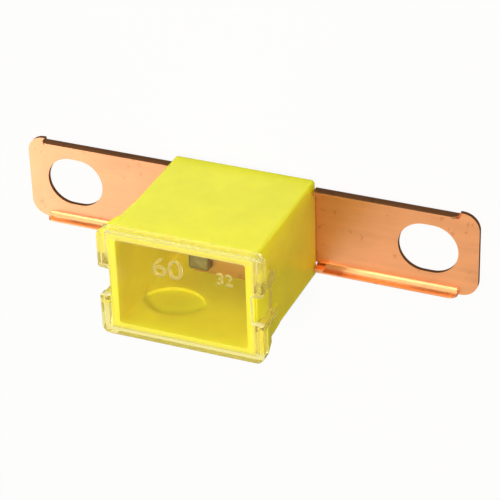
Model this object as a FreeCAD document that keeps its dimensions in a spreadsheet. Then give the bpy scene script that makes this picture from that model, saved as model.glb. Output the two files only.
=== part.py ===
"""Bolt-down cartridge fuse link: housing, clear cover, copper element and tin pellet.

X runs along the blades, Y across them, Z up through the cover. The blades' undersides
lie at Z = 0 and the origin is midway between the two bolt holes. All sizes are in mm.
"""
import FreeCAD, Part
import Sketcher
import math
import os

SIZES = (
    ("overall_length", 55.0, "tip to tip across both blades"),
    ("blade_inset", 0.95, "a flange's outer face, in from the housing's long side"),
    ("sheet", 0.5, "thickness of the copper sheet"),
    ("bend_radius", 0.2, "inner radius of every bend"),
    ("flange_height", 1.65, "from the underside of the blade to the flange's edge"),
    ("flange_relief", 0.1, "gap between a flange and the side of the housing"),
    ("flange_corner", 0.8, "radius of the flange's free corner"),
    ("tip_length", 2.25, "flat tip beyond the end of the flanges"),
    ("tip_corner", 2.0, "radius of the blade's corners"),
    ("hole_inset", 5.85, "from a blade's tip to the centre of its bolt hole"),
    ("hole_length", 7.0, "oblong bolt hole, along the blade"),
    ("hole_width", 6.0, "oblong bolt hole, across the blade"),
    ("plate_depth", 7.4, "upper face of the top plate, back from the housing's front rim"),
    ("plate_near", 1.6, "the top plate's edge on the -Y side"),
    ("plate_far", 1.9, "the top plate's edge on the +Y side"),
    ("neck_width", 1.6, "width of the fusing neck"),
    ("neck_start", 1.8, "from the middle of the link to the start of the neck"),
    ("neck_foot", 1.0, "slant in the corner where the neck meets the leg"),
    ("leg_shoulder", 3.0, "height at which the legs start to narrow"),
    ("leg_taper", 2.0, "height over which the legs narrow"),
    ("housing_length", 16.9, "housing along X"),
    ("housing_width", 12.3, "housing along Y"),
    ("housing_front", 18.4, "front rim of the housing"),
    ("housing_wall", 0.9, "thickness of the housing's walls"),
    ("housing_round", 0.4, "radius of the housing's four long edges"),
    ("hollow_round", 0.3, "radius in the hollow's four corners"),
    ("mouth_clearance", 0.1, "between the legs and the ledges beside the rear mouth"),
    ("ledge_depth", 1.0, "thickness of the ledges"),
    ("spigot_depth", 0.65, "how far the front rim stands past the shoulder for the cover"),
    ("near_pad_edge", 0.15, "the -Y guide pad, in from the housing's long side"),
    ("far_pad_edge", 1.3, "the +Y guide pad, in from the housing's long side"),
    ("pad_rise", 1.15, "how far a guide pad stands out at its front end"),
    ("foot_rise", 0.15, "how far it stands out at the foot of its steeper part"),
    ("knee_rise", 0.57, "how far it stands out at the knee"),
    ("crest_rise", 0.8, "how far it stands out at the crest"),
    ("flank_rise", 0.05, "how far the +Y pad still stands out at the foot of its flank"),
    ("pad_length", 7.35, "guide pad along Z, on its longer edge"),
    ("pad_knee", 2.3, "from a guide pad's front end back to its steeper part"),
    ("pad_foot", 3.1, "from a guide pad's front end back to the foot of that part"),
    ("pad_crest", 1.3, "from a guide pad's front end back to the end of that part"),
    ("pad_slant", 1.3, "how much further back a pad starts on one edge than the other"),
    ("pad_gap", 0.1, "between a guide pad's front end and the cover"),
    ("mark_length", 7.4, "lens-shaped recess in the wall inside the window"),
    ("mark_height", 5.4, "lens-shaped recess, along Z"),
    ("mark_depth", 0.35, "depth of that recess"),
    ("mark_inset", 0.1, "from the -X end wall to the recess"),
    ("mark_below", 6.1, "from the housing's front rim back to the recess's middle"),
    ("cover_overhang", 0.5, "cover's long side past the housing's"),
    ("cover_end_gap", 0.35, "between the cover's end walls and the housing"),
    ("cover_face", 0.8, "thickness of the cover's face"),
    ("cover_side_wall", 0.7, "thickness of the cover's long side walls"),
    ("cover_end_wall", 0.8, "thickness of the cover's end walls"),
    ("cover_corner", 1.0, "radius of the cover's corners seen from the front"),
    ("cover_edge", 0.2, "rounding of the cover's front edges"),
    ("cover_clearance", 0.1, "between the cover's side walls and the housing's front rim"),
    ("skirt_clearance", 0.05, "between the cover's rear edge and the shoulder"),
    ("tab_width", 5.8, "snap tab along Y, with both its legs"),
    ("tab_sheet", 0.9, "thickness of a snap tab's legs"),
    ("bar_sheet", 0.4, "thickness of the crossbar between them"),
    ("tab_reach", 4.35, "from the cover's front to the end of a snap tab"),
    ("tab_clearance", 0.1, "between a snap tab and the housing, and the pads beside it"),
    ("window_width", 3.8, "opening between the legs of a snap tab"),
    ("window_low", 0.45, "crossbar at the rear end of a snap tab, along Z"),
    ("snap_clearance", 0.15, "between the snap boss and the edges of the window"),
    ("snap_rise", 0.4, "how far the snap boss stands out"),
    ("snap_flat", 1.6, "top of the snap boss, along Z"),
    ("snap_toe", 0.15, "how far the front end of its ramp stands out"),
    ("notch_width", 3.4, "notch in the cover's short ends, at its bottom"),
    ("notch_flare", 0.15, "how much each side of the notch opens outwards"),
    ("notch_depth", 1.35, "notch in the cover's face"),
    ("notch_drop", 1.0, "how far back the notch goes"),
    ("pellet_round", 0.4, "rounding of the pellet's edges"),
    ("pellet_length", 2.52, "pellet along X"),
    ("pellet_wrap", 0.37, "pellet past the end of the wide plate"),
    ("pellet_side", 0.4, "pellet past the plate's edge on the +Y side"),
    ("pellet_width", 3.3, "pellet along Y"),
    ("pellet_above", 0.9, "pellet above the plate"),
    ("pellet_below", 0.4, "pellet below the plate"),
)

DERIVED = (
    ("blade_width", "housing_width - 2 * blade_inset", "across the flanges' outer faces"),
    ("hole_pitch", "overall_length - 2 * hole_inset", "between the bolt holes' centres"),
    ("plate_top", "housing_front - plate_depth", "upper face of the top plate"),
    ("cover_length", "housing_length + 2 * (cover_end_gap + cover_end_wall)", "along X"),
    ("cover_width", "housing_width + 2 * cover_overhang", "cover along Y"),
    ("mark_left", "-(housing_length / 2 - housing_wall - mark_inset)", "its left tip"),
    ("mark_level", "housing_front - mark_below", "height of the recess's middle"),
    ("strip_width", "blade_width - 2 * (bend_radius + sheet)", "floor of the blade"),
    ("leg_outside", "housing_length / 2 - housing_wall", "the legs bear on the end walls"),
    ("flange_start", "housing_length / 2 + flange_relief", "inner end of a flange"),
    ("flange_end", "overall_length / 2 - tip_length", "outer end of a flange"),
    ("housing_rear", "sheet + bend_radius", "rear rim, just clear of the bend"),
    ("shoulder", "housing_front - spigot_depth", "shoulder under the cover's rear edge"),
    ("spigot_half", "cover_width / 2 - cover_side_wall - cover_clearance", "front rim, half"),
    ("cover_front", "housing_front + cover_face", "front of the cover, seated on the rim"),
    ("cover_rear", "shoulder + skirt_clearance", "rear edge of the cover"),
    ("tab_inside", "housing_length / 2 + tab_clearance", "inner face of a snap tab"),
    ("tab_outside", "tab_inside + tab_sheet", "outer face of a snap tab's legs"),
    ("bar_outside", "tab_inside + bar_sheet", "outer face of its crossbar"),
    ("tab_end", "cover_front - tab_reach", "rear end of a snap tab"),
    ("window_start", "tab_end + window_low", "rear edge of the window"),
    ("window_end", "cover_front - notch_drop", "front edge of the window, at the notch"),
    ("side_root", "housing_length / 2 - housing_wall / 2", "inner end of pads and boss"),
    ("pad_from", "tab_width / 2 + tab_clearance", "edge of a pad next to the tab"),
    ("pad_end", "cover_rear - pad_gap", "front end of the guide pads"),
    ("pad_start", "pad_end - pad_length", "where a guide pad's longer edge starts"),
    ("far_pad_side", "housing_width / 2 - far_pad_edge", "outer edge of the +Y pad"),
    ("near_pad_side", "housing_width / 2 - near_pad_edge", "outer edge of the -Y pad"),
)

doc = FreeCAD.newDocument("fuse_link")
sheet = doc.addObject("Spreadsheet::Sheet", "Sizes")
V = FreeCAD.Vector
TINY = 1e-4


def fill_sheet():
    row = 1
    for name, value, note in SIZES:
        sheet.set("A%d" % row, name)
        sheet.set("B%d" % row, str(value))
        sheet.setAlias("B%d" % row, name)
        sheet.set("C%d" % row, note)
        row += 1
    for name, formula, note in DERIVED:
        sheet.set("A%d" % row, name)
        sheet.set("B%d" % row, "=" + formula)
        sheet.setAlias("B%d" % row, name)
        sheet.set("C%d" % row, note)
        row += 1
    doc.recompute()


NAMES = [entry[0] for entry in SIZES + DERIVED]


def bound(text):
    """The same formula with every size read from the sheet."""
    out = []
    word = ""
    for char in text + " ":
        if char.isalnum() or char == "_":
            word += char
            continue
        out.append("Sizes." + word if word in NAMES else word)
        out.append(char)
        word = ""
    return "".join(out).strip()


def now(text):
    """The formula's present value."""
    return float(sheet.evalExpression(bound(text)))


def bind(item, prop, text):
    item.setExpression(prop, bound(text))


def new_body(name):
    item = doc.addObject("PartDesign::Body", name)
    item.Label = name
    return item


def new_sketch(body, name, plane, offset=None):
    """A sketch on one of the body's own planes, moved along that plane's normal."""
    item = body.newObject("Sketcher::SketchObject", name)
    support = [part for part in body.Origin.OriginFeatures if part.Role == plane][0]
    item.AttachmentSupport = [(support, "")]
    item.MapMode = "FlatFace"
    if offset:
        bind(item, ".AttachmentOffset.Base.z", offset)
    return item


def pin(sketch, kind, geometry, point, text, name):
    """Ties one coordinate of a point to the sheet, or to an axis where it is zero."""
    if text == "0":
        axis = -2 if kind == "DistanceX" else -1
        sketch.addConstraint(Sketcher.Constraint("PointOnObject", geometry, point, axis))
        return
    rule = Sketcher.Constraint(kind, -1, 1, geometry, point, now(text))
    index = sketch.addConstraint(rule)
    sketch.renameConstraint(index, name)
    bind(sketch, "Constraints." + name, text)


def polygon(sketch, tag, corners):
    """A closed outline; each corner is a pair of formulas."""
    spots = [V(now(x), now(y), 0) for x, y in corners]
    count = len(spots)
    first = sketch.GeometryCount
    for i in range(count):
        sketch.addGeometry(Part.LineSegment(spots[i], spots[(i + 1) % count]), False)
    for i in range(count):
        after = first + (i + 1) % count
        sketch.addConstraint(Sketcher.Constraint("Coincident", first + i, 2, after, 1))
    for i, (x, y) in enumerate(corners):
        pin(sketch, "DistanceX", first + i, 1, x, "%s_x%d" % (tag, i))
        pin(sketch, "DistanceY", first + i, 1, y, "%s_y%d" % (tag, i))


def rectangle(sketch, tag, left, low, right, high):
    polygon(sketch, tag, ((left, low), (right, low), (right, high), (left, high)))


def bent(sketch, tag, corners):
    """A closed outline of level and upright lines, with an arc at each corner that has a
    radius; each corner is two formulas and a radius or None."""
    spots = [V(now(x), now(y), 0) for x, y, r in corners]
    radii = [now(r) if r else 0.0 for x, y, r in corners]
    count = len(spots)
    first = sketch.GeometryCount
    level = []
    for i in range(count):
        j = (i + 1) % count
        way = (spots[j] - spots[i]).normalize()
        level.append(abs(way.y) < abs(way.x))
        start = spots[i] + way * radii[i]
        end = spots[j] - way * radii[j]
        sketch.addGeometry(Part.LineSegment(start, end), False)
    for i in range(count):
        line = first + i
        x, y, radius = corners[i]
        if level[i]:
            sketch.addConstraint(Sketcher.Constraint("Horizontal", line))
            pin(sketch, "DistanceY", line, 1, y, "%s_y%d" % (tag, i))
        else:
            sketch.addConstraint(Sketcher.Constraint("Vertical", line))
            pin(sketch, "DistanceX", line, 1, x, "%s_x%d" % (tag, i))
    for i in range(count):
        before = first + (i - 1) % count
        line = first + i
        if not corners[i][2]:
            sketch.addConstraint(Sketcher.Constraint("Coincident", before, 2, line, 1))
            continue
        came = (spots[i] - spots[i - 1]).normalize()
        goes = (spots[(i + 1) % count] - spots[i]).normalize()
        centre = spots[i] - came * radii[i] + goes * radii[i]
        start = spots[i] - came * radii[i] - centre
        end = spots[i] + goes * radii[i] - centre
        left_turn = came.x * goes.y - came.y * goes.x > 0
        low, high = (start, end) if left_turn else (end, start)
        a = math.atan2(low.y, low.x)
        b = math.atan2(high.y, high.x)
        circle = Part.Circle(centre, V(0, 0, 1), radii[i])
        arc = sketch.addGeometry(Part.ArcOfCircle(circle, a, b), False)
        near, far = (1, 2) if left_turn else (2, 1)
        sketch.addConstraint(Sketcher.Constraint("Tangent", before, 2, arc, near))
        sketch.addConstraint(Sketcher.Constraint("Tangent", arc, far, line, 1))
        rule = sketch.addConstraint(Sketcher.Constraint("Radius", arc, radii[i]))
        name = "%s_r%d" % (tag, i)
        sketch.renameConstraint(rule, name)
        bind(sketch, "Constraints." + name, corners[i][2])


def pad(body, name, sketch, length, both=False, back=False):
    item = body.newObject("PartDesign::Pad", name)
    item.Profile = sketch
    bind(item, "Length", length)
    if both:
        item.SideType = "Symmetric"
    item.Reversed = back
    doc.recompute()
    return item


def cut(body, name, sketch, length=None, both=False, back=False):
    """A pocket that is checked to take material away; no length cuts right through."""
    before = body.Tip.Shape.Volume
    item = body.newObject("PartDesign::Pocket", name)
    item.Profile = sketch
    if length:
        bind(item, "Length", length)
    else:
        item.Type = "ThroughAll"
    if both:
        item.SideType = "Symmetric"
    item.Reversed = back
    doc.recompute()
    if not item.Shape.Volume < before - TINY:
        raise RuntimeError(name + " cuts nothing")
    return item


def round_edges(body, name, radius, wanted):
    """Fillets the edges of the latest shape that the test picks out."""
    base = body.Tip
    picked = []
    for i, edge in enumerate(base.Shape.Edges):
        if wanted(edge):
            picked.append("Edge%d" % (i + 1))
    if not picked:
        raise RuntimeError(name + " finds no edge")
    item = body.newObject("PartDesign::Fillet", name)
    item.Base = (base, picked)
    bind(item, "Radius", radius)
    doc.recompute()
    return item


def axis_plane(body, role):
    return [part for part in body.Origin.OriginFeatures if part.Role == role][0]


def half_turn(body, name, features):
    """Repeats features on the opposite short side, turned half round Z."""
    item = body.newObject("PartDesign::PolarPattern", name)
    item.Originals = features
    item.Axis = (axis_plane(body, "Z_Axis"), [""])
    item.Angle = 360
    item.Occurrences = 2
    body.Tip = item
    doc.recompute()
    return item


def other_end(body, name, features):
    """Mirrors features to the -X end."""
    item = body.newObject("PartDesign::Mirrored", name)
    item.Originals = features
    item.MirrorPlane = (axis_plane(body, "YZ_Plane"), [""])
    body.Tip = item
    doc.recompute()
    return item


def upright(edge, x, y):
    """True for a straight edge along Z at the given distance from both middle planes."""
    box = edge.BoundBox
    if box.ZLength < TINY or box.XLength > TINY or box.YLength > TINY:
        return False
    return abs(abs(box.XMin) - x) < TINY and abs(abs(box.YMin) - y) < TINY


fill_sheet()

# Copper element: one strip bent up into two legs and a top plate
element = new_body("fuse_element")
strip = new_sketch(element, "strip_profile", "XZ_Plane")
inner = "bend_radius"
outer = "bend_radius + sheet"
leg = "leg_outside"
bent(strip, "strip", (
    ("-flange_end", "0", None),
    ("-(%s - sheet)" % leg, "0", outer),
    ("-(%s - sheet)" % leg, "plate_top - sheet", inner),
    ("%s - sheet" % leg, "plate_top - sheet", inner),
    ("%s - sheet" % leg, "0", outer),
    ("flange_end", "0", None),
    ("flange_end", "sheet", None),
    (leg, "sheet", inner),
    (leg, "plate_top", outer),
    ("-" + leg, "plate_top", outer),
    ("-" + leg, "sheet", inner),
    ("-flange_end", "sheet", None),
))
pad(element, "strip", strip, "strip_width", both=True)

# Both edges of the top plate and legs are trimmed back above the shoulders
trim = new_sketch(element, "plate_trim", "YZ_Plane")
half = "strip_width / 2"
polygon(trim, "near", (
    ("-(%s) - sheet" % half, "leg_shoulder"),
    ("-(%s)" % half, "leg_shoulder"),
    ("-plate_near", "leg_shoulder + leg_taper"),
    ("-plate_near", "plate_top + sheet"),
    ("-(%s) - sheet" % half, "plate_top + sheet"),
))
polygon(trim, "far", (
    (half, "leg_shoulder"),
    (half + " + sheet", "leg_shoulder"),
    (half + " + sheet", "plate_top + sheet"),
    ("plate_far", "plate_top + sheet"),
    ("plate_far", "leg_shoulder + leg_taper"),
))
cut(element, "trimmed_plate", trim, "overall_length", both=True)

# The fusing neck: on the -X side only a narrow arm is left along the +Y edge
neck = new_sketch(element, "neck_trim", "YZ_Plane", "-neck_start")
polygon(neck, "neck", (
    ("-plate_near - sheet", "leg_shoulder + leg_taper"),
    ("plate_far - neck_width - neck_foot", "leg_shoulder + leg_taper"),
    ("plate_far - neck_width", "leg_shoulder + leg_taper + neck_foot"),
    ("plate_far - neck_width", "plate_top + sheet"),
    ("-plate_near - sheet", "plate_top + sheet"),
))
cut(element, "fusing_neck", neck, "overall_length / 2")

# Upturned flanges along both sides of each blade
channel = new_sketch(element, "flange_profile", "YZ_Plane", "flange_start")
bent(channel, "far", (
    ("strip_width / 2 - sheet", "0", None),
    ("blade_width / 2", "0", outer),
    ("blade_width / 2", "flange_height", None),
    ("blade_width / 2 - sheet", "flange_height", None),
    ("blade_width / 2 - sheet", "sheet", inner),
    ("strip_width / 2 - sheet", "sheet", None),
))
bent(channel, "near", (
    ("-(strip_width / 2 - sheet)", "0", None),
    ("-(strip_width / 2 - sheet)", "sheet", None),
    ("-(blade_width / 2 - sheet)", "sheet", inner),
    ("-(blade_width / 2 - sheet)", "flange_height", None),
    ("-blade_width / 2", "flange_height", None),
    ("-blade_width / 2", "0", outer),
))
flanges = pad(element, "flanges", channel, "flange_end - flange_start")

# Flat tip beyond the flanges, then the oblong bolt hole
tip = new_sketch(element, "tip_outline", "XY_Plane")
rectangle(tip, "tip", "flange_end", "-blade_width / 2", "overall_length / 2", "blade_width / 2")
tips = pad(element, "tip", tip, "sheet")
other_end(element, "both_blades", [flanges, tips])


def bolt_hole(sketch, tag, side):
    """An oblong with round ends, on the blade's middle line."""
    radius = now("hole_width / 2")
    near = side + "(hole_pitch / 2 - (hole_length - hole_width) / 2)"
    far = side + "(hole_pitch / 2 + (hole_length - hole_width) / 2)"
    if side == "-":
        near, far = far, near
    a = V(now(near), 0, 0)
    b = V(now(far), 0, 0)
    up = V(0, radius, 0)
    first = sketch.GeometryCount
    quarter = math.pi / 2
    sketch.addGeometry(Part.ArcOfCircle(Part.Circle(a, V(0, 0, 1), radius), quarter, -quarter))
    sketch.addGeometry(Part.LineSegment(a - up, b - up))
    sketch.addGeometry(Part.ArcOfCircle(Part.Circle(b, V(0, 0, 1), radius), -quarter, quarter))
    sketch.addGeometry(Part.LineSegment(b + up, a + up))
    for i in range(4):
        after = first + (i + 1) % 4
        sketch.addConstraint(Sketcher.Constraint("Tangent", first + i, 2, after, 1))
    sketch.addConstraint(Sketcher.Constraint("PointOnObject", first, 3, -1))
    pin(sketch, "DistanceX", first, 3, near, tag + "_near")
    pin(sketch, "DistanceX", first + 2, 3, far, tag + "_far")
    rule = sketch.addConstraint(Sketcher.Constraint("Radius", first, radius))
    sketch.renameConstraint(rule, tag + "_radius")
    bind(sketch, "Constraints." + tag + "_radius", "hole_width / 2")
    sketch.addConstraint(Sketcher.Constraint("Horizontal", first + 1))


holes = new_sketch(element, "bolt_holes", "XY_Plane")
bolt_hole(holes, "right", "")
bolt_hole(holes, "left", "-")
cut(element, "holes", holes, "2 * sheet", both=True)

tip_x = now("overall_length / 2")
tip_y = now("blade_width / 2")
round_edges(element, "tip_corners", "tip_corner", lambda e: upright(e, tip_x, tip_y))


def flange_end_corner(edge):
    box = edge.BoundBox
    across = box.YLength > TINY and box.XLength < TINY and box.ZLength < TINY
    high = abs(box.ZMin - now("flange_height")) < TINY
    return across and high and abs(abs(box.XMin) - now("flange_end")) < TINY


round_edges(element, "flange_corners", "flange_corner", flange_end_corner)

# Yellow housing: a sleeve with rounded long edges
housing = new_body("housing")
block = new_sketch(housing, "housing_outline", "XY_Plane", "housing_rear")
rectangle(block, "outline", "-housing_length / 2", "-housing_width / 2",
          "housing_length / 2", "housing_width / 2")
pad(housing, "block", block, "housing_front - housing_rear")
side_x = now("housing_length / 2")
side_y = now("housing_width / 2")
round_edges(housing, "long_edges", "housing_round", lambda e: upright(e, side_x, side_y))

# Stepped-in front rim: both long sides are cut back for the cover's walls
step = new_sketch(housing, "rim_step", "YZ_Plane")
rectangle(step, "far", "spigot_half", "shoulder", "housing_width", "cover_front")
rectangle(step, "near", "-housing_width", "shoulder", "-spigot_half", "cover_front")
cut(housing, "front_rim", step, "housing_length * 2", both=True)

# The hollow, open at the front, and the narrower mouth at the rear
hollow = new_sketch(housing, "hollow_outline", "XY_Plane", "housing_front")
rectangle(hollow, "hollow", "-(housing_length / 2 - housing_wall)",
          "-(housing_width / 2 - housing_wall)",
          "housing_length / 2 - housing_wall", "housing_width / 2 - housing_wall")
cut(housing, "hollow", hollow, "housing_front - housing_rear - ledge_depth")
inner_x = now("housing_length / 2 - housing_wall")
inner_y = now("housing_width / 2 - housing_wall")
round_edges(housing, "hollow_corners", "hollow_round", lambda e: upright(e, inner_x, inner_y))
mouth = new_sketch(housing, "mouth_outline", "XY_Plane", "housing_front")
rectangle(mouth, "mouth", "-(housing_length / 2 - housing_wall)",
          "-(strip_width / 2 + mouth_clearance)",
          "housing_length / 2 - housing_wall", "strip_width / 2 + mouth_clearance")
cut(housing, "rear_mouth", mouth)

# Shallow lens-shaped recess in the wall seen through the window
mark = new_sketch(housing, "mark_outline", "XZ_Plane", "housing_width / 2 - housing_wall")
chord = now("mark_length / 2")
rise = now("mark_height / 2")
bow = (chord * chord + rise * rise) / (2 * rise)
middle = V(now("mark_left") + chord, now("mark_level"), 0)
spread = math.asin(chord / bow)
for turn, shift in ((1, rise - bow), (-1, bow - rise)):
    centre = middle + V(0, shift, 0)
    aim = turn * math.pi / 2
    circle = Part.Circle(centre, V(0, 0, 1), bow)
    mark.addGeometry(Part.ArcOfCircle(circle, aim - spread, aim + spread))
mark.addConstraint(Sketcher.Constraint("Coincident", 0, 2, 1, 1))
mark.addConstraint(Sketcher.Constraint("Coincident", 1, 2, 0, 1))
pin(mark, "DistanceX", 0, 2, "mark_left", "left_tip")
pin(mark, "DistanceY", 0, 2, "mark_level", "left_level")
pin(mark, "DistanceX", 0, 1, "mark_left + mark_length", "right_tip")
pin(mark, "DistanceY", 0, 1, "mark_level", "right_level")
BOW = "(mark_length * mark_length / 4 + mark_height * mark_height / 4) / mark_height"
for index, name in ((0, "upper_bow"), (1, "lower_bow")):
    rule = mark.addConstraint(Sketcher.Constraint("Radius", index, bow))
    mark.renameConstraint(rule, name)
    bind(mark, "Constraints." + name, BOW)
cut(housing, "lens_mark", mark, "mark_depth", back=True)


PAD_RISES = ("foot_rise", "knee_rise", "crest_rise", "pad_rise")
FLANK_RISES = ("flank_rise", "flank_rise", "flank_rise", "flank_rise")


def pad_section(name, across, start, rises=PAD_RISES):
    """A guide pad's side profile at one distance from the middle of the short side."""
    item = new_sketch(housing, name, "XZ_Plane", across)
    polygon(item, "pad", (
        ("side_root", start),
        ("housing_length / 2", start),
        ("housing_length / 2 + " + rises[0], "pad_end - pad_foot"),
        ("housing_length / 2 + " + rises[1], "pad_end - pad_knee"),
        ("housing_length / 2 + " + rises[2], "pad_end - pad_crest"),
        ("housing_length / 2 + " + rises[3], "pad_end"),
        ("side_root", "pad_end"),
    ))
    return item


def guide_pad(name, first, second):
    item = housing.newObject("PartDesign::AdditiveLoft", name)
    item.Profile = first
    item.Sections = [second]
    item.Ruled = True
    housing.Tip = item
    doc.recompute()
    return item


# Guide pads on both sides of the snap tab, rising towards the cover
far_pad = guide_pad(
    "far_pad",
    pad_section("far_pad_edge", "-pad_from", "pad_start + pad_slant"),
    pad_section("far_pad_outer", "-far_pad_side", "pad_start", FLANK_RISES))
near_pad = guide_pad(
    "near_pad",
    pad_section("near_pad_edge", "pad_from", "pad_start"),
    pad_section("near_pad_outer", "near_pad_side", "pad_start + pad_slant"))

# Snap boss: a ramp for the tab to ride over, with its catch to the rear
boss_outline = new_sketch(housing, "boss_outline", "XZ_Plane")
polygon(boss_outline, "boss", (
    ("side_root", "window_start + snap_clearance"),
    ("housing_length / 2 + snap_rise", "window_start + snap_clearance"),
    ("housing_length / 2 + snap_rise", "window_start + snap_clearance + snap_flat"),
    ("housing_length / 2 + snap_toe", "window_end - snap_clearance"),
    ("side_root", "window_end - snap_clearance"),
))
boss = pad(housing, "boss", boss_outline, "window_width - 2 * snap_clearance", both=True)
half_turn(housing, "both_sides", [far_pad, near_pad, boss])

# Clear cover: a shallow cap with rounded corners
cover = new_body("cover")
cap = new_sketch(cover, "cap_outline", "XY_Plane", "cover_rear")
rectangle(cap, "cap", "-cover_length / 2", "-cover_width / 2",
          "cover_length / 2", "cover_width / 2")
pad(cover, "cap", cap, "cover_front - cover_rear")
cap_x = now("cover_length / 2")
cap_y = now("cover_width / 2")
round_edges(cover, "cap_corners", "cover_corner", lambda e: upright(e, cap_x, cap_y))


def front_edge(edge):
    box = edge.BoundBox
    return box.ZLength < TINY and abs(box.ZMin - now("cover_front")) < TINY


round_edges(cover, "front_edges", "cover_edge", front_edge)
inside = new_sketch(cover, "inside_outline", "XY_Plane", "cover_rear")
rectangle(inside, "inside", "-(cover_length / 2 - cover_end_wall)",
          "-(cover_width / 2 - cover_side_wall)",
          "cover_length / 2 - cover_end_wall", "cover_width / 2 - cover_side_wall")
cut(cover, "inside", inside, "housing_front - cover_rear", back=True)

# Snap tabs on both short ends
tab_outline = new_sketch(cover, "tab_outline", "XY_Plane", "tab_end")
rectangle(tab_outline, "right", "tab_inside", "-tab_width / 2", "tab_outside", "tab_width / 2")
rectangle(tab_outline, "left", "-tab_outside", "-tab_width / 2", "-tab_inside",
          "tab_width / 2")
pad(cover, "tabs", tab_outline, "housing_front + cover_face / 2 - tab_end")

# Notches in the face and end walls, each open to the window of its tab
notch = new_sketch(cover, "notch_outline", "XY_Plane", "cover_front")
for tag, side in (("right", ""), ("left", "-")):
    polygon(notch, tag, (
        (side + "(cover_length / 2 - notch_depth)", "-notch_width / 2"),
        (side + "(cover_length / 2)", "-(notch_width / 2 + notch_flare)"),
        (side + "cover_length", "-(notch_width / 2 + notch_flare)"),
        (side + "cover_length", "notch_width / 2 + notch_flare"),
        (side + "(cover_length / 2)", "notch_width / 2 + notch_flare"),
        (side + "(cover_length / 2 - notch_depth)", "notch_width / 2"),
    ))
cut(cover, "notch", notch, "notch_drop")

# The crossbars are set back from the legs' outer faces
recess = new_sketch(cover, "crossbar_outline", "XY_Plane", "tab_end")
rectangle(recess, "right", "bar_outside", "-window_width / 2", "cover_length", "window_width / 2")
rectangle(recess, "left", "-cover_length", "-window_width / 2", "-bar_outside",
          "window_width / 2")
cut(cover, "crossbars", recess, "window_low", back=True)

# Windows between the legs of the tabs, for the snap bosses
view = new_sketch(cover, "window_outline", "YZ_Plane")
rectangle(view, "window", "-window_width / 2", "window_start", "window_width / 2", "window_end")
cut(cover, "windows", view, "cover_length * 2", both=True)

# Tin pellet, wrapped round the plate where the neck begins
pellet = new_body("tin_pellet")
lump = new_sketch(pellet, "pellet_outline", "XY_Plane", "plate_top - sheet - pellet_below")
rectangle(lump, "lump", "-(neck_start + pellet_wrap)", "plate_far + pellet_side - pellet_width",
          "pellet_length - neck_start - pellet_wrap", "plate_far + pellet_side")
pad(pellet, "lump", lump, "pellet_below + sheet + pellet_above")
round_edges(pellet, "soft_edges", "pellet_round", lambda e: True)
grip = new_sketch(pellet, "plate_space", "XY_Plane", "plate_top")
polygon(grip, "space", (
    ("-neck_start", "-(plate_near + pellet_width)"),
    ("pellet_length", "-(plate_near + pellet_width)"),
    ("pellet_length", "plate_far"),
    ("-(neck_start + pellet_length)", "plate_far"),
    ("-(neck_start + pellet_length)", "plate_far - neck_width"),
    ("-neck_start", "plate_far - neck_width"),
))
cut(pellet, "plate_space", grip, "sheet")

doc.recompute()
for item in doc.Objects:
    if "Invalid" in item.State or "Error" in item.State:
        raise RuntimeError(item.Name + " has failed")

os.makedirs("parts", exist_ok=True)
for body in (housing, cover, element, pellet):
    shape = body.Shape
    if shape.isNull() or not shape.isValid() or len(shape.Solids) != 1:
        raise RuntimeError(body.Label + " is not one valid solid")
    shape.exportStep("parts/" + body.Label + ".step")
    box = shape.BoundBox
    print(body.Label, round(shape.Volume, 2), [round(value, 3) for value in
          (box.XMin, box.YMin, box.ZMin, box.XMax, box.YMax, box.ZMax)])
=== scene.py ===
"""Bolt-down cartridge fuse link: finished pieces, materials, stage and camera."""
import math

import bmesh
import bpy
from mathutils import Matrix, Vector, noise


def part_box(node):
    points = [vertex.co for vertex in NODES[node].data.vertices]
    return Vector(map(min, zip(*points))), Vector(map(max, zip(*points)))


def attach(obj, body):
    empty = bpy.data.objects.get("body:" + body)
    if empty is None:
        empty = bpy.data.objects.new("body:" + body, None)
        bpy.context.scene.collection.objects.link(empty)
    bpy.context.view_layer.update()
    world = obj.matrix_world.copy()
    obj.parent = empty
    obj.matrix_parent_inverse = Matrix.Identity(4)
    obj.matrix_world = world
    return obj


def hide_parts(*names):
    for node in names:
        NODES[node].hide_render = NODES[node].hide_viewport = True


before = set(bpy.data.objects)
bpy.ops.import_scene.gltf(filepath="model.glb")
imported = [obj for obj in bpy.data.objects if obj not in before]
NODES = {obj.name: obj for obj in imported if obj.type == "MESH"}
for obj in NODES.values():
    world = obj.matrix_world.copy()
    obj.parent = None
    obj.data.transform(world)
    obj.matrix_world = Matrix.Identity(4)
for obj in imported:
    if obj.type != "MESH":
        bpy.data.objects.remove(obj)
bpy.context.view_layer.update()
MM = 0.001
WHITE = (1.0, 1.0, 1.0)

bl_info = {
    "name": "Fuse Link",
    "version": (1, 0, 0),
    "blender": (4, 5, 0),
    "location": "View3D > Sidebar > Fuse Link",
    "description": "Builds a bolt-down cartridge fuse link and its stage",
    "category": "Object",
}

# Where the painted light and shade change, in each piece's own coordinates.
# The housing's inner walls, painted a more golden tone for the light that bounces between
# them, and how far outside them that painted tone has faded out
INNER_WALLS = (("X", 8.2 * MM), ("Y", 5.2 * MM))
PAINTED_TONE_FADE = 0.5 * MM
# The short ends' edge under the top, which is the side towards +Y
SOAKED_TOP = (3.9 * MM, 5.9 * MM)
SOAKED_END = (8.3 * MM, 8.5 * MM)
# The pale, less clear band round the cover's face, a painted highlight for the light that
# its thick walls catch: its start, its soft edge, and how much wider it is on the
# underside, where it lies on the housing's rim
BAND_START = (("X", 8.3 * MM), ("Y", 5.4 * MM))
BAND_FADE = 0.3 * MM
BAND_WIDER = 0.3 * MM
UNDERSIDE = (18.6 * MM, 18.8 * MM)
# Heights between which the copper takes a painted shade, darker and yellower, for the shade
# and the yellow reflections inside the housing
PAINTED_SHADE_HEIGHTS = (2.0 * MM, 9.0 * MM)

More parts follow.
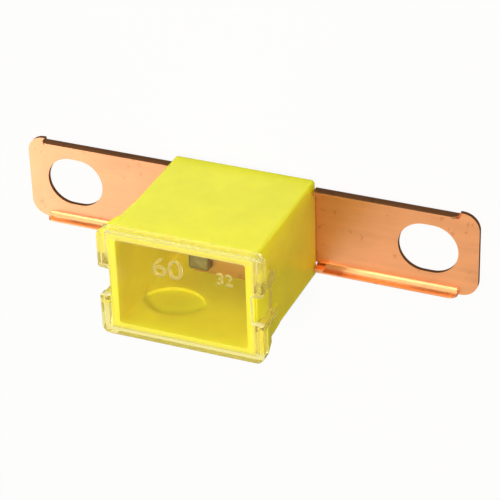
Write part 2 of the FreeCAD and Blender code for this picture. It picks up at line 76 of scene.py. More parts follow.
# The walls of the cover's notches: inset from its ends, half width, lowest height and
# the steepest that they lean, as their normal's Z
NOTCH_INSET = 0.3 * MM
NOTCH_HALF = 2.5 * MM
NOTCH_LOW = 18.2 * MM
NOTCH_SLOPE = 0.3
# How clear the notches' walls stay under their painted highlight
NOTCH_CLEARNESS = 0.45
# The cover's face plate, and the hair by which its underside clears the housing's rim
PLATE = 0.45 * MM
RIM_TOUCH = 0.01 * MM
RIM_GAP = 0.03 * MM
# The numbers' depth below the face, and the size of type over the height of its digits
SUNK = 0.1 * MM
TYPE_SIZE = 1.37
NUMBER_WELD = 0.001 * MM
NUMBER_CLEARNESS = 0.87

# Section of a flange, in millimetres, the slopes where its hollow starts and ends, in
# degrees, and those where its upper and lower part overlap
SHEET, LIP_TOP, LIP_EDGE = 0.5, 1.65, 5.0
LIP_ROOT, LIP_RIM, LIP_STEP = 35, 85, 5
LIP_OVERLAP = (50, 60)
# The bodies that shape the hollow: from and to along the blade, and their other sides
ROOT_SPAN, ROOT_WALL, ROOT_FLOOR = (9.62, 25.15), 4.95, 0.3
FACE_SPAN, FACE_OPEN, FACE_TOP, FACE_HAIR = (9.65, 25.4), 4.0, 1.8, 0.003

# The pellet's mesh size, and the size of its lumps
PELLET_GRID = 0.07 * MM
PELLET_LUMP = 0.8 * MM

# The floor lies a hair under the link, so that the two don't flicker. Behind the link,
# what the metal mirrors of it goes from the link's shade to the open floor
FLOOR_HALF = 1.5
FLOOR_DROP = 0.02 * MM
SHADE_ENDS = (6.5 * MM, 7.8 * MM)
# What the lamps are aimed at, and the lamps
MIDDLE = (0.0, 0.0, 0.008)
LEFT_BLADE = (-0.020, 0.0, 0.0)
COOL = (0.76, 0.99, 1.0)
LAMPS = (
    # name, size, place, colour, aim
    ("key", 0.12, (-0.155, 0.325, 0.27), COOL, MIDDLE),
    ("back", 0.09, (-0.155, 0.42, 0.075), COOL, MIDDLE),
    ("front", 0.15, (0.07, 0.15, 0.46), (1.0, 0.86, 0.58), MIDDLE),
    ("fill", 0.32, (-0.434, -0.225, 0.355), (0.84, 0.80, 1.0), MIDDLE),
    ("card", 0.20, (-0.262, -0.147, 0.23), (0.40, 0.40, 1.0), LEFT_BLADE),
)
# The camera, as fitted to the photograph's edges, with its focal length in pixels
PHOTO_WIDTH = 500.0
FOCAL_PIXELS = 2203.2
SENSOR = 36.0
CAMERA_PLACE = (0.08676, 0.12590, 0.19787)
CAMERA_RIGHT = (0.9223, -0.0283, -0.3854)
CAMERA_FORWARD = (-0.3432, -0.5182, -0.7834)


# Shared mesh helpers

def clean_copy(node, name):
    """A welded copy of a framed piece with its flat faces whole."""
    mesh = NODES[node].data.copy()
    mesh.name = name
    mesh.materials.clear()
    work = bmesh.new()
    work.from_mesh(mesh)
    bmesh.ops.remove_doubles(work, verts=work.verts, dist=0.002 * MM)
    bmesh.ops.dissolve_limit(work, angle_limit=math.radians(0.4), verts=work.verts,
                             edges=work.edges, delimit={"NORMAL"})
    bmesh.ops.recalc_face_normals(work, faces=work.faces)
    work.to_mesh(mesh)
    work.free()
    mesh.update()
    piece = bpy.data.objects.new(name, mesh)
    bpy.context.scene.collection.objects.link(piece)
    return piece


def applied(piece):
    """Turns the piece's modifiers into plain mesh."""
    bpy.context.view_layer.update()
    graph = bpy.context.evaluated_depsgraph_get()
    mesh = bpy.data.meshes.new_from_object(piece.evaluated_get(graph))
    old = piece.data
    piece.modifiers.clear()
    piece.data = mesh
    mesh.name = piece.name
    bpy.data.meshes.remove(old)
    return mesh


def soften(piece, width, angle=35.0):
    """Rounds the sharp edges a little, as moulding or stamping leaves them."""
    bevel = piece.modifiers.new("edges", "BEVEL")
    bevel.width = width
    bevel.segments = 2
    bevel.limit_method = "ANGLE"
    bevel.angle_limit = math.radians(angle)
    applied(piece)


def smooth(piece, angle=32.0):
    """Smooth shading that keeps the flat faces flat and the sharp edges sharp."""
    piece.data.shade_smooth()
    piece.data.set_sharp_from_angle(angle=math.radians(angle))
    even = piece.modifiers.new("even", "WEIGHTED_NORMAL")
    even.mode = "FACE_AREA"
    even.weight = 100
    even.keep_sharp = True
    applied(piece)


def joined(piece, other, operation):
    """Adds the other body to the piece, or takes it off."""
    change = piece.modifiers.new("join", "BOOLEAN")
    change.operation = operation
    change.solver = "EXACT"
    change.material_mode = "TRANSFER"
    change.object = other
    applied(piece)
    bpy.data.objects.remove(other)


def settle(piece, material, slot, *nodes):
    """Gives the piece its finish, unless it has one already, and its place in the frame."""
    if material:
        piece.data.materials.clear()
        piece.data.materials.append(material)
    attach(piece, "root")
    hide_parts(*nodes)


# Shared material helpers

def new_material(name):
    material = bpy.data.materials.new(name)
    material.use_nodes = True
    tree = material.node_tree
    shader = tree.nodes["Principled BSDF"]
    return material, tree, shader


def ramp(tree, stops, source):
    """A colour along a ramp; each stop is a position and a linear colour."""
    item = tree.nodes.new("ShaderNodeValToRGB")
    points = item.color_ramp.elements
    while len(points) < len(stops):
        points.new(0.5)
    for point, (place, colour) in zip(points, stops):
        point.position = place
        point.color = (*colour, 1.0)
    tree.links.new(source, item.inputs["Fac"])
    return item.outputs["Color"]


def grain(tree, scale, detail=4.0, rough=0.55, stretch=(1.0, 1.0, 1.0)):
    """Noise in the piece's own coordinates."""
    coordinate = tree.nodes.new("ShaderNodeTexCoord")
    mapping = tree.nodes.new("ShaderNodeMapping")
    mapping.inputs["Scale"].default_value = stretch
    tree.links.new(coordinate.outputs["Object"], mapping.inputs["Vector"])
    item = tree.nodes.new("ShaderNodeTexNoise")
    item.inputs["Scale"].default_value = scale
    item.inputs["Detail"].default_value = detail
    item.inputs["Roughness"].default_value = rough
    tree.links.new(mapping.outputs["Vector"], item.inputs["Vector"])
    return item.outputs["Fac"]


def between(tree, low, high, source, start=0.0, end=1.0):
    """Runs from low to high as the source runs from start to end."""
    item = tree.nodes.new("ShaderNodeMapRange")
    item.inputs["From Min"].default_value = start
    item.inputs["From Max"].default_value = end
    item.inputs["To Max"].default_value = high
    if isinstance(low, float):
        item.inputs["To Min"].default_value = low
    else:
        tree.links.new(low, item.inputs["To Min"])
    tree.links.new(source, item.inputs["Value"])
    return item.outputs["Result"]


def math_node(tree, operation, *values):
    """The result of one Math node; each value is a number or a socket."""
    item = tree.nodes.new("ShaderNodeMath")
    item.operation = operation
    for value, socket in zip(values, item.inputs):
        if isinstance(value, float):
            socket.default_value = value
        else:
            tree.links.new(value, socket)
    return item.outputs["Value"]


def own_place(tree):
    """The X, Y and Z of a point in the piece's own coordinates."""
    coordinate = tree.nodes.new("ShaderNodeTexCoord")
    place = tree.nodes.new("ShaderNodeSeparateXYZ")
    tree.links.new(coordinate.outputs["Object"], place.inputs["Vector"])
    return place.outputs


def times(tree, first, second):
    """The product of two colours."""
    item = tree.nodes.new("ShaderNodeVectorMath")
    item.operation = "MULTIPLY"
    tree.links.new(first, item.inputs[0])
    tree.links.new(second, item.inputs[1])
    return item.outputs["Vector"]


def toned(tree, colour, tone, share):
    """The colour, multiplied by the tone as the share goes from 0 to 1."""
    return times(tree, colour, ramp(tree, ((0.0, WHITE), (1.0, Vector(tone))), share))


def uneven(tree, shader, roughness, least, most, source):
    """Lets the roughness wander from least to most times its value."""
    tree.links.new(between(tree, roughness * least, roughness * most, source),
                   shader.inputs["Roughness"])


def relief(tree, shader, source, depth, strength):
    bump = tree.nodes.new("ShaderNodeBump")
    bump.inputs["Distance"].default_value = depth
    bump.inputs["Strength"].default_value = strength
    tree.links.new(source, bump.inputs["Height"])
    tree.links.new(bump.outputs["Normal"], shader.inputs["Normal"])


# Materials

def yellow_plastic(look):
    material, tree, shader = new_material("moulded_yellow_plastic")
    base = Vector(look.colour)
    cloud = ramp(tree, ((0.3, base * 0.95), (0.7, base * 1.04)), grain(tree, 260.0, 3.0))
    place = own_place(tree)
    # Painted light: the inner walls take a more golden tone, for the light that bounces
    # between them
    inside = math_node(tree, "MINIMUM", *[
        between(tree, 1.0, 0.0, math_node(tree, "ABSOLUTE", place[axis]), wall,
                wall + PAINTED_TONE_FADE) for axis, wall in INNER_WALLS])
    # Light that soaks in at the top comes out of the short ends close to the edge
    outward = math_node(tree, "ABSOLUTE", place["X"])
    soaked = math_node(tree, "MULTIPLY",
                       between(tree, 0.0, 1.0, place["Y"], *SOAKED_TOP),
                       between(tree, 0.0, 1.0, outward, *SOAKED_END))
    tone = toned(tree, toned(tree, cloud, look.inner, inside), look.soaked, soaked)
    tree.links.new(tone, shader.inputs["Base Color"])
    uneven(tree, shader, look.roughness, 0.85, 1.15, grain(tree, 900.0, 2.0))
    shader.inputs["Subsurface Weight"].default_value = 0.85
    shader.inputs["Subsurface Radius"].default_value = (1.0, 0.85, 0.10)
    shader.inputs["Subsurface Scale"].default_value = 2.6 * MM
    shader.inputs["Specular IOR Level"].default_value = 0.5
    relief(tree, shader, grain(tree, 2600.0, 2.0), 0.004 * MM, 0.6)
    return material


def clear_plastic(look):
    material, tree, shader = new_material("clear_plastic")
    base = Vector(look.tint)
    faint = ramp(tree, ((0.35, base), (0.75, base * 0.985)), grain(tree, 180.0, 2.0))
    place = own_place(tree)
    # Painted highlight: a band round the face turns paler and less clear, for the light
    # that the thick walls catch
    wider = between(tree, BAND_WIDER, 0.0, place["Z"], *UNDERSIDE)
    band = math_node(tree, "MAXIMUM", *[
        between(tree, 0.0, 1.0,
                math_node(tree, "ADD", math_node(tree, "ABSOLUTE", place[axis]), wider),
                start, start + BAND_FADE) for axis, start in BAND_START])
    tree.links.new(between(tree, 1.0, 1.0 - look.painted_band_share, band),
                   shader.inputs["Transmission Weight"])
    tree.links.new(toned(tree, faint, look.band, band), shader.inputs["Base Color"])
    shader.inputs["IOR"].default_value = look.ior
    shader.inputs["Roughness"].default_value = 0.02
    relief(tree, shader, grain(tree, 420.0, 2.0), 0.006 * MM, 0.3)
    body = tree.nodes.new("ShaderNodeVolumeAbsorption")
    body.inputs["Color"].default_value = (*look.body, 1.0)
    body.inputs["Density"].default_value = look.density
    tree.links.new(body.outputs["Volume"], tree.nodes["Material Output"].inputs["Volume"])
    return material


def frost_and_painted_highlight(look, name, clearness):
    """The numbers are duller than the face around them; the notches' walls get the same
    pale, less clear finish as a painted highlight along them.
    """
    material, tree, shader = new_material(name)
    speck = grain(tree, 2200.0, 3.0)
    base = Vector(look.frost)
    tree.links.new(ramp(tree, ((0.3, base * 0.94), (0.7, base)), speck),
                   shader.inputs["Base Color"])
    shader.inputs["Transmission Weight"].default_value = clearness
    shader.inputs["IOR"].default_value = look.ior
    shader.inputs["Roughness"].default_value = 0.12
    relief(tree, shader, speck, 0.01 * MM, 0.5)
    return material


def copper_sheet(look):
    material, tree, shader = new_material("rolled_copper_sheet")
    base = Vector(look.colour)
    streak = grain(tree, 60.0, 6.0, 0.6, (1.0, 26.0, 26.0))
    blotch = grain(tree, 170.0, 3.0)
    mixed = math_node(tree, "ADD", math_node(tree, "MULTIPLY", streak, 0.45),
                      math_node(tree, "MULTIPLY", blotch, 0.55))
    shade = ramp(tree, ((0.3, base * 0.86), (0.5, base), (0.72, base * 1.08)), mixed)
    scuff = ramp(tree, ((0.64, WHITE), (0.70, (0.84, 0.80, 0.76))),
                 grain(tree, 950.0, 2.0, 0.5, (1.0, 0.7, 1.0)))
    # Painted shade and reflection: the copper turns darker and yellower inside the housing
    inside = between(tree, 0.0, 1.0, own_place(tree)["Z"], *PAINTED_SHADE_HEIGHTS)
    tree.links.new(toned(tree, times(tree, shade, scuff), look.inner, inside),
                   shader.inputs["Base Color"])
    shader.inputs["Metallic"].default_value = 1.0
    uneven(tree, shader, look.roughness, 0.8, 1.25, streak)
    relief(tree, shader, streak, 0.006 * MM, 0.7)
    return material


def cast_tin(look):
    material, tree, shader = new_material("dull_cast_tin")
    base = Vector(look.colour)
    mottle = grain(tree, 900.0, 5.0, 0.65)
    tree.links.new(ramp(tree, ((0.3, base * 0.7), (0.7, base * 1.25)), mottle),
                   shader.inputs["Base Color"])
    shader.inputs["Metallic"].default_value = 0.85
    shader.inputs["Roughness"].default_value = 0.5
    relief(tree, shader, mottle, 0.05 * MM, 0.8)
    return material


# Sizes and colours

class FuseHousingLook(bpy.types.PropertyGroup):
    colour: bpy.props.FloatVectorProperty(
        name="Colour", description="Plastic of the housing", subtype="COLOR",
        size=3, min=0.0, max=1.0, default=(0.90, 0.85, 0.026))
    # Painted light: the more golden tone of the housing's inner walls
    inner: bpy.props.FloatVectorProperty(
        name="Inner tone", description="Share of the colour left on the inner walls",
        subtype="COLOR", size=3, min=0.0, max=2.0, default=(1.04, 0.93, 1.2))
    soaked: bpy.props.FloatVectorProperty(
        name="Soaked edge", description="The same, on the short ends close to the top",
        subtype="COLOR", size=3, min=0.0, max=2.0, default=(1.08, 1.08, 0.3))
    roughness: bpy.props.FloatProperty(
        name="Roughness", description="Roughness of the moulded surface",
        min=0.0, max=1.0, default=0.32, subtype="FACTOR")
    edge: bpy.props.FloatProperty(
        name="Edge rounding", description="Rounding of the moulding's sharp edges",
        min=0.0, default=0.09 * MM, unit="LENGTH", subtype="DISTANCE", precision=5)


class FuseCoverLook(bpy.types.PropertyGroup):
    tint: bpy.props.FloatVectorProperty(
        name="Tint", description="Faint tint of the clear plastic", subtype="COLOR",
        size=3, min=0.0, max=1.0, default=(0.985, 0.985, 0.955))
    # Also the pale colour of the painted highlight on the notches' walls
    frost: bpy.props.FloatVectorProperty(
        name="Frosting", description="Pale colour of the raised numbers", subtype="COLOR",
        size=3, min=0.0, max=1.0, default=(0.98, 0.93, 0.66))
    body: bpy.props.FloatVectorProperty(
        name="Body", description="Colour that thick stretches take on", subtype="COLOR",
        size=3, min=0.0, max=1.0, default=(0.98, 0.955, 0.10))
    density: bpy.props.FloatProperty(
        name="Density", description="How fast that colour deepens, per metre",
        min=0.0, default=620.0)
    # Painted highlight: how much of the band round the face turns pale, for the light that
    # the thick walls catch
    painted_band_share: bpy.props.FloatProperty(
        name="Milkiness", description="How cloudy the thick band round the face is",
        min=0.0, max=1.0, default=0.10, subtype="FACTOR")
    # The tone of that painted highlight band
    band: bpy.props.FloatVectorProperty(
        name="Band", description="Tone of that band", subtype="COLOR",
        size=3, min=0.0, max=1.0, default=(0.90, 0.84, 0.62))
    ior: bpy.props.FloatProperty(
        name="Refraction", description="Index of refraction of the clear plastic",
        min=1.0, max=2.0, default=1.25)
    edge: bpy.props.FloatProperty(
        name="Edge rounding", description="Rounding of the cover's sharp edges",
        min=0.0, default=0.06 * MM, unit="LENGTH", subtype="DISTANCE", precision=5)
    number_size: bpy.props.FloatProperty(
        name="Large numbers", description="Height of the larger raised numbers",
        min=0.0, default=2.45 * MM, unit="LENGTH", subtype="DISTANCE", precision=5)
    small_size: bpy.props.FloatProperty(
        name="Small numbers", description="Height of the smaller raised numbers",
        min=0.0, default=1.45 * MM, unit="LENGTH", subtype="DISTANCE", precision=5)
    number_edge: bpy.props.FloatProperty(
        name="Number rounding", description="Rounding of the numbers' edges",
        min=0.0, default=0.03 * MM, unit="LENGTH", subtype="DISTANCE", precision=5)
    relief: bpy.props.FloatProperty(
        name="Number relief", description="How far the numbers stand up",
        min=0.0, default=0.2 * MM, unit="LENGTH", subtype="DISTANCE", precision=5)


class FuseElementLook(bpy.types.PropertyGroup):
    colour: bpy.props.FloatVectorProperty(
        name="Colour", description="Copper of the blades", subtype="COLOR",
        size=3, min=0.0, max=1.0, default=(0.74, 0.32, 0.13))
    roughness: bpy.props.FloatProperty(
        name="Roughness", description="Roughness of the rolled sheet",
        min=0.0, max=1.0, default=0.30, subtype="FACTOR")
    # Painted shade and reflection: the copper's darker, yellower tone inside the housing
    inner: bpy.props.FloatVectorProperty(
        name="Inner tone", description="Share of the colour left inside the housing",
        subtype="COLOR", size=3, min=0.0, max=1.0, default=(0.66, 0.80, 0.62))
    edge: bpy.props.FloatProperty(
        name="Edge rounding", description="Rounding of the stamped edges",
        min=0.0, default=0.05 * MM, unit="LENGTH", subtype="DISTANCE", precision=5)


class FusePelletLook(bpy.types.PropertyGroup):
    colour: bpy.props.FloatVectorProperty(
        name="Colour", description="Tin of the pellet", subtype="COLOR",
        size=3, min=0.0, max=1.0, default=(0.20, 0.165, 0.085))
    lumps: bpy.props.FloatProperty(
        name="Lumps", description="Depth of the uneven cast surface",
        min=0.0, default=0.05 * MM, unit="LENGTH", subtype="DISTANCE", precision=5)


class FuseStageLook(bpy.types.PropertyGroup):
    floor: bpy.props.FloatVectorProperty(
        name="Floor", description="Colour of the floor", subtype="COLOR",
        size=3, min=0.0, max=1.0, default=(0.62, 0.62, 0.62))
    mirrored: bpy.props.FloatProperty(
        name="Mirrored shade", description="Share of the floor's white that shows in the "
        "metal from close to the link, where its shadow lies",
        min=0.0, max=1.0, default=0.07, subtype="FACTOR")
    open_floor: bpy.props.FloatProperty(
        name="Mirrored floor", description="The same share further out behind the link",
        min=0.0, max=1.0, default=1.0, subtype="FACTOR")
    white: bpy.props.FloatProperty(
        name="White share", description="The rest of the floor keeps the link's shadow",
        min=0.0, max=1.0, default=0.93, subtype="FACTOR")
    surround: bpy.props.FloatProperty(
        name="Surround", description="Strength of the light from all round",
        min=0.0, default=0.26)
    key: bpy.props.FloatProperty(
        name="Key light", description="Power of the large lamp behind the link",
        min=0.0, default=0.37, unit="POWER", subtype="POWER")
    back: bpy.props.FloatProperty(
        name="Back light", description="Power of the low lamp behind the link",
        min=0.0, default=0.26, unit="POWER", subtype="POWER")
    front: bpy.props.FloatProperty(
        name="Front light", description="Power of the lamp over the cover",
        min=0.0, default=2.1, unit="POWER", subtype="POWER")
    fill: bpy.props.FloatProperty(
        name="Fill light", description="Power of the lamp on the left",
        min=0.0, default=1.1, unit="POWER", subtype="POWER")
    card: bpy.props.FloatProperty(
        name="Card light", description="Power of the panel that the left blade mirrors",
        min=0.0, default=0.11, unit="POWER", subtype="POWER")


# Pieces

class FUSE_OT_housing(bpy.types.Operator):
    """Build the yellow housing"""
    bl_idname = "fuse_link.housing"
    bl_label = "Housing"

    def execute(self, context):
        look = context.scene.fuse_housing
        piece = clean_copy("housing", "housing_moulding")
        soften(piece, look.edge)
        smooth(piece)
        settle(piece, yellow_plastic(look), "yellow_plastic", "housing")
        return {"FINISHED"}


def numbers_tree():
    """Raised numbers: a line of digits, filled and drawn up from the face."""
    tree = bpy.data.node_groups.new("raised_numbers", "GeometryNodeTree")
    for name, kind in (("Geometry", "Geometry"), ("Digits", "String"), ("Height", "Float"),
                       ("Relief", "Float"), ("Sunk", "Float"), ("Corner", "Vector"),
                       ("Stretch", "Vector"), ("Material", "Material")):
        tree.interface.new_socket(name, in_out="INPUT", socket_type="NodeSocket" + kind)
    tree.interface.new_socket("Geometry", in_out="OUTPUT",
                              socket_type="NodeSocketGeometry")
    nodes, links = tree.nodes, tree.links
    entry = nodes.new("NodeGroupInput")
    leave = nodes.new("NodeGroupOutput")
    line = nodes.new("GeometryNodeStringToCurves")
    links.new(entry.outputs["Digits"], line.inputs["String"])
    links.new(entry.outputs["Height"], line.inputs["Size"])
    real = nodes.new("GeometryNodeRealizeInstances")
    links.new(line.outputs["Curve Instances"], real.inputs["Geometry"])
    fill = nodes.new("GeometryNodeFillCurve")
    fill.mode = "NGONS"
    links.new(real.outputs["Geometry"], fill.inputs["Curve"])
    rise = nodes.new("GeometryNodeExtrudeMesh")
    rise.inputs["Individual"].default_value = False
    links.new(fill.outputs["Mesh"], rise.inputs["Mesh"])
    links.new(math_node(tree, "ADD", entry.outputs["Relief"], entry.outputs["Sunk"]),
              rise.inputs["Offset Scale"])
    under = nodes.new("GeometryNodeFlipFaces")
    links.new(fill.outputs["Mesh"], under.inputs["Mesh"])
    both = nodes.new("GeometryNodeJoinGeometry")
    links.new(rise.outputs["Mesh"], both.inputs["Geometry"])
    links.new(under.outputs["Mesh"], both.inputs["Geometry"])
    weld = nodes.new("GeometryNodeMergeByDistance")
    weld.inputs["Distance"].default_value = NUMBER_WELD
    links.new(both.outputs["Geometry"], weld.inputs["Geometry"])
    shift = nodes.new("GeometryNodeTransform")
    links.new(weld.outputs["Geometry"], shift.inputs["Geometry"])
    links.new(entry.outputs["Corner"], shift.inputs["Translation"])
    links.new(entry.outputs["Stretch"], shift.inputs["Scale"])
    finish = nodes.new("GeometryNodeSetMaterial")
    links.new(shift.outputs["Geometry"], finish.inputs["Geometry"])
    links.new(entry.outputs["Material"], finish.inputs["Material"])
    links.new(finish.outputs["Geometry"], leave.inputs["Geometry"])
    return tree


def raised_number(tree, look, digits, height, stretch, corner, material):
    """A line of digits as a body; the corner is its lower left one, at its foot."""
    name = "number_" + digits
    piece = bpy.data.objects.new(name, bpy.data.meshes.new(name))
    bpy.context.scene.collection.objects.link(piece)
    modifier = piece.modifiers.new("numbers", "NODES")
    modifier.node_group = tree
    values = {"Digits": digits, "Height": height * TYPE_SIZE, "Relief": look.relief,
              "Sunk": SUNK, "Corner": corner, "Stretch": (stretch, 1.0, 1.0),
              "Material": material}
    for item in tree.interface.items_tree:
        if item.in_out == "INPUT" and item.name in values:
            modifier[item.identifier] = values[item.name]
    soften(piece, look.number_edge, 60.0)
    return piece


def in_notch(face, end):
    """Whether a face of the cover is a wall of one of its notches."""
    place = face.center
    return (abs(place.x) < end - NOTCH_INSET and abs(place.y) < NOTCH_HALF
            and place.z > NOTCH_LOW and abs(face.normal.z) < NOTCH_SLOPE)


class FUSE_OT_cover(bpy.types.Operator):
    """Build the clear cover with its raised numbers"""
    bl_idname = "fuse_link.cover"
    bl_label = "Cover"

    def execute(self, context):
        look = context.scene.fuse_cover
        piece = clean_copy("cover", "clear_cover")
        soften(piece, look.edge)
        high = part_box("cover")[1]
        frosted = frost_and_painted_highlight(look, "frosted_clear_plastic", NUMBER_CLEARNESS)
        # Painted highlight: the notches' walls are pale and less clear, for the light along
        # the notches' edges
        dull = frost_and_painted_highlight(look, "dull_clear_edge", NOTCH_CLEARNESS)
        piece.data.materials.append(clear_plastic(look))
        piece.data.materials.append(dull)
        for face in piece.data.polygons:
            if in_notch(face, high.x):
                face.material_index = 1
        # The face is set back by the relief, so the numbers end flush with the cover's
        # box, and its underside lifts off the housing's rim by a hair
        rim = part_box("housing")[1].z
        for vertex in piece.data.vertices:
            if vertex.co.z > high.z - PLATE:
                vertex.co.z -= look.relief
            elif abs(vertex.co.z - rim) < RIM_TOUCH:
                vertex.co.z += RIM_GAP
        tree = numbers_tree()
        foot = high.z - look.relief - SUNK
        for digits, height, stretch, corner in (
                ("60", look.number_size, 1.12, (-3.1 * MM, 2.2 * MM, foot)),
                ("32", look.small_size, 1.0, (4.4 * MM, 2.65 * MM, foot))):
            number = raised_number(tree, look, digits, height, stretch, corner, frosted)
            joined(piece, number, "UNION")
        smooth(piece, 30.0)
        settle(piece, None, "clear_plastic", "cover")
        # Clear plastic hardly dims what lies under it
        piece.visible_shadow = False
        piece.visible_diffuse = False
        return {"FINISHED"}


def flange_strips(name, start, end, outline):
    """The same strip along each of the four flanges; the outline is in millimetres."""
    mesh = bpy.data.meshes.new(name)
    work = bmesh.new()
    for side in (1.0, -1.0):
        for flank in (1.0, -1.0):
            near, far = [[work.verts.new((side * along * MM, flank * y * MM, z * MM))
                          for y, z in outline] for along in (start, end)]
            for i in range(len(near)):
                j = (i + 1) % len(near)
                work.faces.new((near[i], near[j], far[j], far[i]))
            work.faces.new(near)
            work.faces.new(list(reversed(far)))
    bmesh.ops.recalc_face_normals(work, faces=work.faces)
    work.to_mesh(mesh)
    work.free()
    strips = bpy.data.objects.new(name, mesh)
    bpy.context.scene.collection.objects.link(strips)
    return strips


def lip_curve(first, last):
    """Hollow curve of a flange's inner face; the angles are its slope in degrees."""
    root, rim = math.radians(LIP_ROOT), math.radians(LIP_RIM)
    radius = (LIP_TOP - SHEET) / (math.cos(root) - math.cos(rim))
    across = LIP_EDGE - radius * math.sin(rim)
    up = SHEET + radius * math.cos(root)
    return [(across + radius * math.sin(math.radians(angle)),
             up - radius * math.cos(math.radians(angle)))
            for angle in range(first, last + 1, LIP_STEP)]


class FUSE_OT_element(bpy.types.Operator):
    """Build the copper fuse element"""
    bl_idname = "fuse_link.element"
    bl_label = "Fuse element"

    def execute(self, context):
        look = context.scene.fuse_element
        piece = clean_copy("fuse_element", "copper_element")
        soften(piece, look.edge)
        # The hollow's lower part is added to the bend, down into the sheet
        low = lip_curve(LIP_ROOT, LIP_OVERLAP[1])
        roots = flange_strips("lip_roots", *ROOT_SPAN, low + [
            (ROOT_WALL, low[-1][1]), (ROOT_WALL, ROOT_FLOOR), (low[0][0], ROOT_FLOOR)])
        joined(piece, roots, "UNION")
        # Its upper part is taken off the flange, a hair outside the lower one
        high = [(y + FACE_HAIR, z) for y, z in lip_curve(LIP_OVERLAP[0], LIP_RIM)]
        faces = flange_strips("lip_faces", *FACE_SPAN, high + [
            (high[-1][0], FACE_TOP), (FACE_OPEN, FACE_TOP), (FACE_OPEN, high[0][1])])
        joined(piece, faces, "DIFFERENCE")
        smooth(piece, 30.0)
        settle(piece, copper_sheet(look), "copper", "fuse_element")
        return {"FINISHED"}


class FUSE_OT_pellet(bpy.types.Operator):
    """Build the tin pellet"""
    bl_idname = "fuse_link.pellet"
    bl_label = "Tin pellet"

    def execute(self, context):
        look = context.scene.fuse_pellet
        piece = clean_copy("tin_pellet", "tin_lump")
        grid = piece.modifiers.new("grid", "REMESH")
        grid.mode = "VOXEL"
        grid.voxel_size = PELLET_GRID
        mesh = applied(piece)
        low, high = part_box("tin_pellet")
        for vertex in mesh.vertices:
            depth = (noise.noise(vertex.co / PELLET_LUMP) - 0.5) * look.lumps
            moved = vertex.co + vertex.normal * depth
            for axis in range(3):
                moved[axis] = min(max(moved[axis], low[axis]), high[axis])
            vertex.co = moved
        piece.data.shade_smooth()
        settle(piece, cast_tin(look), "tin", "tin_pellet")
        return {"FINISHED"}


# Stage

def lamp(name, size, power, place, colour, aim):
    data = bpy.data.lights.new(name, "AREA")
    data.shape = "SQUARE"
    data.size = size
    data.energy = power
    data.color = colour
    item = bpy.data.objects.new(name, data)
    bpy.context.scene.collection.objects.link(item)
    item.location = place
    way = Vector(aim) - Vector(place)
    item.rotation_euler = way.to_track_quat("-Z", "Y").to_euler()


def seen_straight(tree, path):
    """1 for what the camera sees, straight or through clear plastic."""
    return math_node(tree, "MAXIMUM", path["Is Camera Ray"], path["Is Transmission Ray"])


def seen_at_all(tree, path):
    """As above, and 1 too for what shows in the metal."""
    return math_node(tree, "MAXIMUM", seen_straight(tree, path), path["Is Glossy Ray"])


def pale_floor(look):
    """White to the camera, with part of the object's shadow kept."""
    material, tree, shader = new_material("pale_floor")
    tree.nodes.remove(shader)
    out = tree.nodes["Material Output"]
    base = Vector(look.floor)
    matt = tree.nodes.new("ShaderNodeBsdfDiffuse")
    tree.links.new(ramp(tree, ((0.3, base), (0.7, base * 0.99)), grain(tree, 30.0, 2.0)),
                   matt.inputs["Color"])
    glow = tree.nodes.new("ShaderNodeEmission")
    glow.inputs["Color"].default_value = (*WHITE, 1.0)
    path = tree.nodes.new("ShaderNodeLightPath").outputs
    shade = between(tree, look.mirrored, look.open_floor, own_place(tree)["Y"],
                    *SHADE_ENDS)
    tree.links.new(between(tree, shade, 1.0, seen_straight(tree, path)),
                   glow.inputs["Strength"])
    mix = tree.nodes.new("ShaderNodeMixShader")
    tree.links.new(between(tree, 0.0, look.white, seen_at_all(tree, path)),
                   mix.inputs["Fac"])
    tree.links.new(matt.outputs["BSDF"], mix.inputs[1])
    tree.links.new(glow.outputs["Emission"], mix.inputs[2])
    tree.links.new(mix.outputs["Shader"], out.inputs["Surface"])
    return material


def lay_floor(scene, look):
    mesh = bpy.data.meshes.new("floor")
    corners = [(x * FLOOR_HALF, y * FLOOR_HALF, -FLOOR_DROP)
               for x, y in ((-1.0, -1.0), (1.0, -1.0), (1.0, 1.0), (-1.0, 1.0))]
    mesh.from_pydata(corners, [], [(0, 1, 2, 3)])
    floor = bpy.data.objects.new("floor", mesh)
    scene.collection.objects.link(floor)
    mesh.materials.append(pale_floor(look))


def set_surround(scene, look):
    world = bpy.data.worlds.new("surround")
    scene.world = world
    world.use_nodes = True
    tree = world.node_tree
    back = tree.nodes["Background"]
    back.inputs["Color"].default_value = (*WHITE, 1.0)
    path = tree.nodes.new("ShaderNodeLightPath").outputs
    tree.links.new(between(tree, look.surround, 1.0, seen_at_all(tree, path)),
                   back.inputs["Strength"])


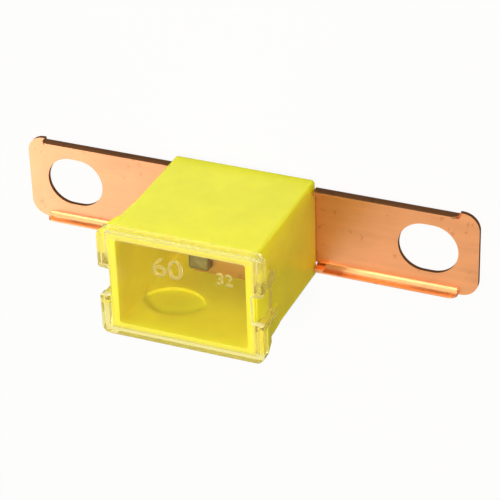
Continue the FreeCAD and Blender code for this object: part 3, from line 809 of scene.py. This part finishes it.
def place_camera(scene):
    data = bpy.data.cameras.new("camera")
    camera = bpy.data.objects.new("camera", data)
    scene.collection.objects.link(camera)
    data.sensor_width = SENSOR
    data.lens = FOCAL_PIXELS / PHOTO_WIDTH * SENSOR
    data.clip_start = 0.01
    data.clip_end = 10.0
    right = Vector(CAMERA_RIGHT).normalized()
    forward = Vector(CAMERA_FORWARD).normalized()
    up = right.cross(forward).normalized()
    right = forward.cross(up)
    turn = Matrix((right, up, -forward)).transposed()
    camera.matrix_world = Matrix.Translation(Vector(CAMERA_PLACE)) @ turn.to_4x4()
    scene.camera = camera


class FUSE_OT_stage(bpy.types.Operator):
    """Set up the floor, the lamps, the background and the camera"""
    bl_idname = "fuse_link.stage"
    bl_label = "Stage"

    def execute(self, context):
        look = context.scene.fuse_stage
        scene = context.scene
        scene.view_settings.view_transform = "Standard"
        lay_floor(scene, look)
        for name, size, place, colour, aim in LAMPS:
            lamp(name + "_lamp", size, getattr(look, name), place, colour, aim)
        set_surround(scene, look)
        place_camera(scene)
        return {"FINISHED"}


class FUSE_PT_panel(bpy.types.Panel):
    bl_label = "Fuse Link"
    bl_idname = "FUSE_PT_panel"
    bl_space_type = "VIEW_3D"
    bl_region_type = "UI"
    bl_category = "Fuse Link"

    def draw(self, context):
        for operator, name, look in STEPS:
            box = self.layout.box()
            box.operator(operator.bl_idname)
            for value in look.__annotations__:
                box.prop(getattr(context.scene, name), value)


STEPS = (
    (FUSE_OT_housing, "fuse_housing", FuseHousingLook),
    (FUSE_OT_cover, "fuse_cover", FuseCoverLook),
    (FUSE_OT_element, "fuse_element", FuseElementLook),
    (FUSE_OT_pellet, "fuse_pellet", FusePelletLook),
    (FUSE_OT_stage, "fuse_stage", FuseStageLook),
)


def register():
    for operator, name, look in STEPS:
        bpy.utils.register_class(look)
        setattr(bpy.types.Scene, name, bpy.props.PointerProperty(type=look))
        bpy.utils.register_class(operator)
    bpy.utils.register_class(FUSE_PT_panel)


def unregister():
    bpy.utils.unregister_class(FUSE_PT_panel)
    for operator, name, look in reversed(STEPS):
        bpy.utils.unregister_class(operator)
        delattr(bpy.types.Scene, name)
        bpy.utils.unregister_class(look)


def main():
    register()
    bpy.ops.fuse_link.housing()
    bpy.ops.fuse_link.cover()
    bpy.ops.fuse_link.element()
    bpy.ops.fuse_link.pellet()
    bpy.ops.fuse_link.stage()


if __name__ == "__main__":
    main()
